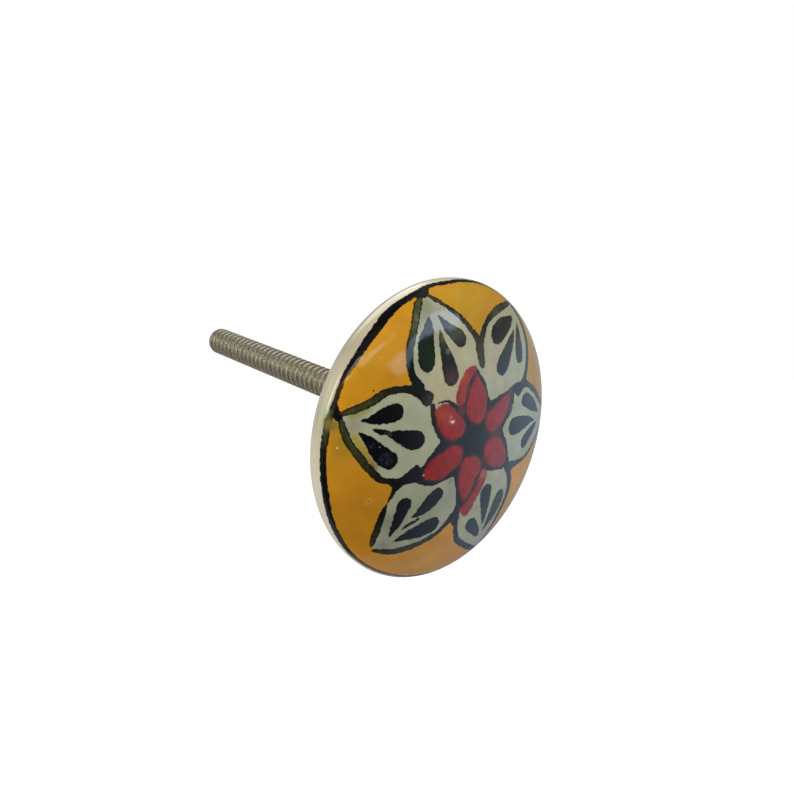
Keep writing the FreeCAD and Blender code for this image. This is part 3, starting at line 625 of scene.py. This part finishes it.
# stray specks and stains, and small painted highlights and reflections: right, up, radius and softness of the
# edge in mm, colour, strength
SPECKS_AND_GLINTS = [
    (-16.3, 7.85, 0.12, 0.06, "0C0D0C", 0.9), (-15.65, -6.6, 0.13, 0.06, "4A2A10", 0.9),
    # painted highlights and reflections among them: the pale dot at (-8.1, -3.5) by the red, the grey dot at
    # (-15.15, 0.7) in the left petal's lower drop, the pale fleck and grey ring at (-5.0, 12.6) and (-5.1,
    # 12.4) in the upper left petal's middle drop, and the three pale dots near (-8.5, -9.8), a glint along a
    # stroke of the lower left petal
    (-20.55, 0.45, 0.12, 0.06, "D0CCB8", 0.8), (-8.1, -3.5, 0.13, 0.06, "B8B8AC", 0.8),
    (-15.15, 0.7, 0.08, 0.06, "A0A0A8", 0.7), (-5.0, 12.6, 0.1, 0.06, "98A49C", 0.7),
    (-21.9, 3.4, 0.7, 0.5, "7E7030", 0.8), (-22.45, 5.0, 0.5, 0.45, "A6B48E", 0.6),
    (-5.1, 12.4, 0.35, 0.28, "5F6A62", 0.7), (-8.5, -9.78, 0.1, 0.07, "A4A89C", 0.8),
    (-8.85, -9.7, 0.08, 0.07, "A4A89C", 0.8), (-8.15, -9.84, 0.08, 0.07, "A4A89C", 0.8),
]
for right, up, radius, soft, colour, strength in SPECKS_AND_GLINTS:
    painted = blend(calc("MULTIPLY", speck(right, up, radius, soft), strength), painted, linear(colour))
waves = add(tree, "ShaderNodeBump",
            {"Strength": 0.12, "Distance": 0.0003, "Height": noise(3.5, 2.0)}).outputs[0]
peel = add(tree, "ShaderNodeBump", {"Strength": 0.6, "Distance": 0.00002, "Height": noise(1.0, 2.0),
                                    "Normal": waves}).outputs[0]
ridge = add(tree, "ShaderNodeBump",
            {"Strength": 0.25, "Distance": 0.00003, "Height": black_cover, "Normal": peel})
surface = add(tree, "ShaderNodeBsdfPrincipled", {"Base Color": painted, "Roughness": 0.07, "IOR": 1.5,
                                                 "Coat Weight": 0.0, "Normal": ridge.outputs[0]})
add(tree, "ShaderNodeOutputMaterial", {"Surface": surface.outputs[0]})
knob.data.materials.append(glaze)
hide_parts("ceramic_head")
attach(knob, "root")

# The screw is set in grey cement, which fills the socket to 0.5 mm short of the foot. It is seen only
# from behind, as a dull ring round the shank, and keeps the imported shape.
cement = bare_material("set_cement")
tree = cement.node_tree
place = add(tree, "ShaderNodeTexCoord").outputs["Object"]
grain = noise(0.5, 5.0, 0.7)
surface = add(tree, "ShaderNodeBsdfPrincipled", {
    "Base Color": blend(grain, linear("6F6C66"), linear("A19D94")), "Roughness": 0.9,
    "Normal": add(tree, "ShaderNodeBump", {"Strength": 0.6, "Distance": 0.0001, "Height": grain}).outputs[0]})
add(tree, "ShaderNodeOutputMaterial", {"Surface": surface.outputs[0]})
socket_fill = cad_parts["socket_cement"]
socket_fill.data.materials.clear()
socket_fill.data.materials.append(cement)

# The stud is a steel machine screw, 4.7 mm over a rolled thread of 1.25 mm pitch, with a dull plated
# finish. It stands 41 mm out of the foot, and its 6.8 mm head is buried in the cement.
STUD_END = 41.0
START_INSIDE = 0.5
TIP_ROUND = 1.7
PITCH = 1.25
CREST = 2.35
ROOT = 2.05
# radii between which the painted shade in the thread's roots deepens
SHADE_FROM = 2.30
SHADE_FULL_AT = 2.10
plate = bare_material("dull_nickel_plate")
tree = plate.node_tree
place = add(tree, "ShaderNodeTexCoord").outputs["Object"]
axes = add(tree, "ShaderNodeSeparateXYZ", {0: place})
across = calc("MULTIPLY", axes.outputs[0], axes.outputs[0])
height = calc("MULTIPLY", axes.outputs[2], axes.outputs[2])
radius = calc("SQRT", calc("ADD", across, height))
# painted shade: the thread darkens, mottled, towards its roots
root_shade_mask = add(tree, "ShaderNodeMapRange", {0: radius, 1: SHADE_FROM * MM, 2: SHADE_FULL_AT * MM, 3: 0.0, 4: 1.0},
                interpolation_type="SMOOTHSTEP").outputs[0]
mottle = noise(0.8, 4.0, 0.6)
root_shade = calc("MULTIPLY", root_shade_mask, add(tree, "ShaderNodeMapRange", {0: mottle, 1: 0.3, 2: 0.7, 3: 0.6,
                                                                         4: 1.0}).outputs[0])
steel = blend(mottle, linear("BAB4A0"), linear("A8A28D"))
surface = add(tree, "ShaderNodeBsdfPrincipled", {
    "Base Color": blend(calc("MULTIPLY", root_shade, 0.3), steel, linear("75694F")), "Metallic": 0.86,
    "Roughness": add(tree, "ShaderNodeMapRange", {0: mottle, 3: 0.44, 4: 0.54}).outputs[0],
    "Normal": add(tree, "ShaderNodeBump", {"Strength": 0.05, "Distance": 0.00005,
                                           "Height": noise(0.25, 3.0)}).outputs[0]})
add(tree, "ShaderNodeOutputMaterial", {"Surface": surface.outputs[0]})

# the thread is a fine grid wrapped round the axis, pushed out along a helix and rounded off at the tip
wrap = bpy.data.node_groups.new("helical_thread", "GeometryNodeTree")
for name in ("Length", "Pitch", "Crest Radius", "Root Radius", "Tip Round"):
    wrap.interface.new_socket(name, in_out="INPUT", socket_type="NodeSocketFloat")
wrap.interface.new_socket("Finish", in_out="INPUT", socket_type="NodeSocketMaterial")
wrap.interface.new_socket("Geometry", in_out="OUTPUT", socket_type="NodeSocketGeometry")
tree = wrap
given = add(tree, "NodeGroupInput").outputs
ROWS = 409
COLUMNS = 41
grid = add(tree, "GeometryNodeMeshGrid",
           {"Size X": 1.0, "Size Y": 1.0, "Vertices X": ROWS, "Vertices Y": COLUMNS})
spot = add(tree, "ShaderNodeSeparateXYZ", {0: add(tree, "GeometryNodeInputPosition").outputs[0]})
along = calc("MULTIPLY", calc("ADD", spot.outputs[0], 0.5), given["Length"])
turn = calc("ADD", spot.outputs[1], 0.5)
angle = calc("MULTIPLY", turn, 2 * math.pi)
phase = calc("FRACT", calc("ADD", calc("ADD", calc("DIVIDE", along, given["Pitch"]), turn), 0.5))
flank = calc("MULTIPLY", calc("ABSOLUTE", calc("SUBTRACT", phase, 0.5)), 2.0)
crest = add(tree, "ShaderNodeMapRange", {0: flank, 1: 0.0, 2: 0.95, 3: 0.0, 4: 1.0},
            interpolation_type="SMOOTHSTEP").outputs[0]
depth = calc("SUBTRACT", given["Crest Radius"], given["Root Radius"])
thread = calc("ADD", calc("MULTIPLY", crest, depth), given["Root Radius"])
tip_start = calc("SUBTRACT", given["Length"], given["Tip Round"])
past_start = calc("MAXIMUM", calc("SUBTRACT", along, tip_start), 0.0)
tip_squared = calc("MULTIPLY", given["Tip Round"], given["Tip Round"])
left_over = calc("SUBTRACT", tip_squared, calc("MULTIPLY", past_start, past_start))
drop = calc("SQRT", calc("MAXIMUM", left_over, 0.0))
limit = calc("ADD", calc("SUBTRACT", given["Crest Radius"], given["Tip Round"]), drop)
radius = calc("MINIMUM", thread, limit)
where = add(tree, "ShaderNodeCombineXYZ", {0: calc("MULTIPLY", radius, calc("COSINE", angle)),
                                           1: calc("SUBTRACT", along, START_INSIDE * MM),
                                           2: calc("MULTIPLY", radius, calc("SINE", angle))})
shaped = add(tree, "GeometryNodeSetPosition", {"Geometry": grid.outputs[0], "Position": where.outputs[0]})
closed = add(tree, "GeometryNodeMergeByDistance", {"Geometry": shaped.outputs[0], "Distance": 0.00001})
real = add(tree, "GeometryNodeRealizeInstances", {0: closed.outputs[0]})
finish = add(tree, "GeometryNodeSetMaterial", {"Geometry": real.outputs[0], "Material": given["Finish"]})
add(tree, "NodeGroupOutput", {0: finish.outputs[0]})
carrier = bpy.data.objects.new("thread_carrier", bpy.data.meshes.new("thread_carrier"))
bpy.context.scene.collection.objects.link(carrier)
modifier = carrier.modifiers.new("thread", "NODES")
modifier.node_group = wrap
sockets = {item.name: item.identifier for item in wrap.interface.items_tree if item.in_out == "INPUT"}
for name, value in (("Length", (STUD_END + START_INSIDE) * MM), ("Pitch", PITCH * MM),
                    ("Crest Radius", CREST * MM), ("Root Radius", ROOT * MM),
                    ("Tip Round", TIP_ROUND * MM), ("Finish", plate)):
    modifier[sockets[name]] = value
carrier.update_tag()
evaluated = carrier.evaluated_get(bpy.context.evaluated_depsgraph_get())
thread_mesh = bpy.data.meshes.new_from_object(evaluated)
carrier.modifiers.clear()
bpy.data.objects.remove(carrier)

# buried shank and head, then the thread's open ends closed onto the axis
buried = turned("stud_buried", [(0.0, -11.5), (3.0, -11.5), (3.2, -11.3), (3.4, -11.1), (3.4, -9.3),
                                (ROOT, -9.3), (ROOT, -0.5), (1.9, -0.5), (0.0, -0.5)], [40] * 9)
stud_mesh = bmesh.new()
stud_mesh.from_mesh(thread_mesh)
bmesh.ops.remove_doubles(stud_mesh, verts=stud_mesh.verts, dist=0.000005)
open_edges = [e for e in stud_mesh.edges if e.is_boundary]
bmesh.ops.contextual_create(stud_mesh, geom=[e for e in open_edges if e.verts[0].co.y > 0.02])
bmesh.ops.contextual_create(stud_mesh, geom=[e for e in open_edges if e.verts[0].co.y < 0.02])
stud_mesh.from_mesh(buried.data)
bmesh.ops.recalc_face_normals(stud_mesh, faces=stud_mesh.faces)
stud_data = bpy.data.meshes.new("stud_screw")
stud_mesh.to_mesh(stud_data)
stud_mesh.free()
bpy.data.objects.remove(buried)
stud_data.shade_smooth()
stud_data.set_sharp_from_angle(angle=math.radians(50))
stud_data.materials.clear()
stud_data.materials.append(plate)
screw = bpy.data.objects.new("stud_screw", stud_data)
bpy.context.scene.collection.objects.link(screw)
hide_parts("threaded_stud")
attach(screw, "root")

# The stage is a pale floor well below the knob, a white surround and soft studio lights.
floor_mesh = bpy.data.meshes.new("floor")
HALF = 3.0
FLOOR = -0.56
PAPER_GLOW = 0.75
floor_mesh.from_pydata([(-HALF, -HALF, FLOOR), (HALF, -HALF, FLOOR), (HALF, HALF, FLOOR),
                        (-HALF, HALF, FLOOR)], [], [(0, 1, 2, 3)])
floor = bpy.data.objects.new("floor", floor_mesh)
bpy.context.scene.collection.objects.link(floor)
paper = bare_material("matt_white_paper")
tree = paper.node_tree
place = add(tree, "ShaderNodeTexCoord").outputs["Object"]
matt = add(tree, "ShaderNodeBsdfDiffuse", {"Color": blend(noise(40.0), linear("F4F4F2"), linear("EFEFED"))})
seen = add(tree, "ShaderNodeLightPath").outputs["Is Camera Ray"]
plain = add(tree, "ShaderNodeEmission", {"Color": (1.0, 1.0, 1.0, 1.0),
                                         "Strength": calc("MULTIPLY", seen, PAPER_GLOW)})
add(tree, "ShaderNodeOutputMaterial", {0: add(tree, "ShaderNodeAddShader", {0: matt.outputs[0],
                                                                            1: plain.outputs[0]}).outputs[0]})
floor_mesh.materials.append(paper)

world = bpy.data.worlds.new("white_surround")
bpy.context.scene.world = world
world.use_nodes = True
tree = world.node_tree
tree.nodes.clear()
rays = add(tree, "ShaderNodeLightPath").outputs
mirror = calc("MAXIMUM", rays["Is Camera Ray"], calc("MAXIMUM", rays["Is Glossy Ray"],
                                                               rays["Is Transmission Ray"]))
heading = add(tree, "ShaderNodeTexCoord").outputs["Generated"]
facing = add(tree, "ShaderNodeSeparateXYZ", {0: heading}).outputs[1]
lit = add(tree, "ShaderNodeMapRange", {0: facing, 1: -0.3, 2: 0.4, 3: 0.28, 4: 0.70},
          interpolation_type="SMOOTHSTEP").outputs[0]
strength = add(tree, "ShaderNodeMapRange", {0: mirror, 3: lit, 4: 1.0}).outputs[0]
sky = add(tree, "ShaderNodeBackground", {"Color": (1.0, 1.0, 1.0, 1.0), "Strength": strength})
add(tree, "ShaderNodeOutputWorld", {0: sky.outputs[0]})


def softbox(name, location, target, width, height, power):
    """A soft studio light that faces the target."""
    lamp = bpy.data.lights.new(name, "AREA")
    lamp.shape = "RECTANGLE"
    lamp.size = width
    lamp.size_y = height
    lamp.energy = power
    made = bpy.data.objects.new(name, lamp)
    made.location = location
    made.rotation_euler = (Vector(target) - Vector(location)).to_track_quat("-Z", "Y").to_euler()
    bpy.context.scene.collection.objects.link(made)
    made.visible_glossy = False
    return made


softbox("key", (-0.40, -0.40, 0.80), (0, -0.015, 0), 0.5, 0.5, 7.6)
softbox("fill", (0.7, -0.6, 0.3), (0, -0.015, 0), 0.8, 0.8, 0.8)
softbox("bounce", (-0.45, 0.15, -0.40), (0, -0.015, 0), 0.5, 0.5, 1.2)

# The glaze mirrors the room ahead of the knob: dim straight ahead and to the left, pale and bluish to the
# right, with a window above. The room is a curved card that only mirrors see, so it lights nothing.
ROOM = 0.54
ROOM_CENTRE = np.array([0, -0.02, 0])
sideways = np.radians(np.arange(-180, 180.1, 1.0))
upward = np.radians(np.arange(-89, 89.1, 1.0))
side, rise = np.meshgrid(sideways, upward)
room_points = np.stack([np.sin(side) * np.cos(rise), -np.cos(side) * np.cos(rise), np.sin(rise)], -1) * ROOM
room_points = room_points + ROOM_CENTRE
columns = len(sideways)
room_faces = [(r * columns + c, r * columns + c + 1, (r + 1) * columns + c + 1, (r + 1) * columns + c)
              for r in range(len(upward) - 1) for c in range(columns - 1)]
room_mesh = bpy.data.meshes.new("room_card")
room_mesh.from_pydata(room_points.reshape(-1, 3).tolist(), [], room_faces)
room_mesh.shade_smooth()


def glow(az, el, wide, tall, soft):
    """A soft-edged bright rectangle on the card, centred at a heading and a height in degrees."""
    beyond = np.maximum(abs(np.degrees(side) - az) - wide / 2, 0) ** 2
    beyond = beyond + np.maximum(abs(np.degrees(rise) - el) - tall / 2, 0) ** 2
    return np.exp(-beyond / soft**2)[..., None]


def by(angle, pairs):
    """A value that follows the pairs of angle and value, over the whole card."""
    return np.interp(np.degrees(angle), *zip(*pairs))[..., None]


# daylight from the right: its strength by heading, its strength by height, and how it turns neutral above
daylight = by(side, [(-180, 0.3), (-128, 0.15), (-91, 0.05), (-30, 0.02), (8, 0.01), (14, 0.06), (20, 0.12),
                     (29, 0.28), (36, 0.46), (42, 0.60), (50, 0.70), (61, 0.84), (70, 0.84), (76, 0.80),
                     (82, 0.66), (90, 0.52), (115, 0.40), (180, 0.35)])
daylight = daylight * by(rise, [(-89, 0.32), (-60, 0.42), (-45, 0.48), (-38, 0.53), (-30, 0.62),
                                (-22, 0.75), (-15, 0.87), (0, 1.0), (5, 0.75), (9, 0.42), (14, 0.24),
                                (35, 0.2), (89, 0.2)])
neutral = by(rise, [(2, 0.0), (12, 1.0)])
DAYLIGHT = 1.48
DIM_ROOM = 0.02
tint = (1 - neutral) * np.array([0.61, 0.80, 1.0]) + neutral * np.array([1.0, 1.0, 0.95])
light = DAYLIGHT * daylight * tint
light = light + DIM_ROOM + glow(-3, 38, 30, 28, 8) * 0.2 + glow(-62, 51, 20, 10, 12) * 0.15
light = light + glow(-135, -65, 40, 15, 12) * np.array([0.30, 0.27, 0.2])
light = light + glow(141, -68, 40, 15, 12) * np.array([0.35, 0.25, 0.15])
# what the stud mirrors behind the knob: pale above, dull to its left, a warm patch lower, dark beneath
light = light + (glow(163, 41, 34, 28, 6) + glow(-180, 41, 4, 28, 6)) * np.array([2.4, 2.4, 2.3])
light = light + glow(-158, 30, 12, 24, 6) * np.array([0.08, 0.085, 0.06])
light = light + glow(-143, 4, 16, 10, 5) * np.array([1.2, 1.05, 0.62])
light = light + glow(-165, -35, 40, 30, 10) * np.array([0.44, 0.35, 0.22])
light = light + glow(165, -35, 30, 30, 10) * np.array([0.36, 0.29, 0.19])
# the faint bright line low in the window's reflection
light = light + glow(41, 17, 6, 1, 4) * np.array([1.0, 1.05, 0.9])

# bright panes with crisp edges: (heading, height) corners and the light of each
PANES = [
    ([(20, 21), (23, 22), (27, 22), (30, 22), (33, 21), (36, 20), (39, 19), (42, 20), (44, 22), (45, 25),
      (43, 28), (39, 33), (34, 36), (29, 36), (24, 33), (21, 29), (19, 26), (18, 23)], (2.0, 2.55, 3.6)),
    ([(13, 14), (16, 13), (18, 17), (19, 22), (20, 27), (17, 26), (14, 25), (12, 20)], (1.1, 1.7, 2.3)),
    ([(1, 18), (7, 11), (14, 9), (14, 13), (11, 20), (6, 20)], (0.7, 1.7, 2.2)),
    ([(-48, 33), (-29, 29), (-21, 32), (-13, 33), (-9, 36), (-18, 38), (-32, 39), (-40, 37)],
     (1.4, 2.2, 2.0)),
    ([(-5, 36), (-1, 36), (-1, 40), (-5, 40)], (1.0, 1.3, 0.8)),
    ([(-79, 25), (-64, 26), (-54, 34), (-40, 38), (-59, 42), (-72, 33)], (3.4, 3.3, 2.4)),
    ([(-121, 5), (-111, 5), (-109, 14), (-109, 28), (-117, 29), (-122, 14)], (6.8, 6.4, 5.6)),
]
PANE_SOFT = 2.0
directions = np.degrees(np.stack([side.ravel(), rise.ravel()], -1))
for corners, bright in PANES:
    edge = np.clip(0.5 - patch(corners, directions, 2 * PANE_SOFT) / PANE_SOFT, 0, 1)
    light = light + (edge**2 * (3 - 2 * edge)).reshape(side.shape)[..., None] * np.array(bright)
colours = room_mesh.attributes.new("room_light", "FLOAT_COLOR", "POINT")
colours.data.foreach_set("color", np.concatenate([light, np.ones(light.shape[:2] + (1,))], -1).ravel())
room_card = bpy.data.objects.new("room_card", room_mesh)
bpy.context.scene.collection.objects.link(room_card)
glow_card = bare_material("lit_room_card")
tree = glow_card.node_tree
shade = add(tree, "ShaderNodeAttribute", attribute_name="room_light").outputs["Color"]
add(tree, "ShaderNodeOutputMaterial", {0: add(tree, "ShaderNodeEmission", {0: shade}).outputs[0]})
room_mesh.materials.append(glow_card)

# a small lamp in the room gives the one hard glint on the red enamel
GLINT_HEADING = math.radians(39)
GLINT_HEIGHT = math.radians(-10.6)
GLINT_WIDTH = 0.008
GLINT_DISTANCE = 0.5
GLINT_LIGHT = 30.0
ahead = math.cos(GLINT_HEIGHT)
toward = Vector((math.sin(GLINT_HEADING) * ahead, -math.cos(GLINT_HEADING) * ahead,
                 math.sin(GLINT_HEIGHT)))
facing_knob = toward.to_track_quat("Z", "Y").to_matrix().to_4x4()
lamp_round = bmesh.new()
standing = Matrix.Translation(toward * GLINT_DISTANCE + Vector(ROOM_CENTRE)) @ facing_knob
bmesh.ops.create_circle(lamp_round, cap_ends=True, segments=24, radius=GLINT_WIDTH / 2, matrix=standing)
lamp_mesh = bpy.data.meshes.new("glint_lamp")
lamp_round.to_mesh(lamp_mesh)
lamp_round.free()
lamp_glow = bare_material("lit_lamp")
tree = lamp_glow.node_tree
add(tree, "ShaderNodeOutputMaterial", {0: add(tree, "ShaderNodeEmission", {1: GLINT_LIGHT}).outputs[0]})
lamp_mesh.materials.append(lamp_glow)
glint_lamp = bpy.data.objects.new("glint_lamp", lamp_mesh)
bpy.context.scene.collection.objects.link(glint_lamp)
for card in (room_card, glint_lamp):
    card.visible_camera = False
    card.visible_diffuse = False
    card.visible_transmission = False
    card.visible_volume_scatter = False
    card.visible_shadow = False

# The camera stands in front of the knob, to the left and a little above.
view = bpy.data.cameras.new("view")
view.sensor_width = 36.0
view.lens = 41.419
view.shift_x = 0.1150
view.shift_y = -0.1734
view.clip_start = 0.005
camera = bpy.data.objects.new("view", view)
camera.location = (-0.091556, -0.100410, 0.035856)
camera.rotation_euler = tuple(math.radians(a) for a in (83.384, -5.115, -37.545))
bpy.context.scene.collection.objects.link(camera)
bpy.context.scene.camera = camera
bpy.context.scene.view_settings.view_transform = "Standard"
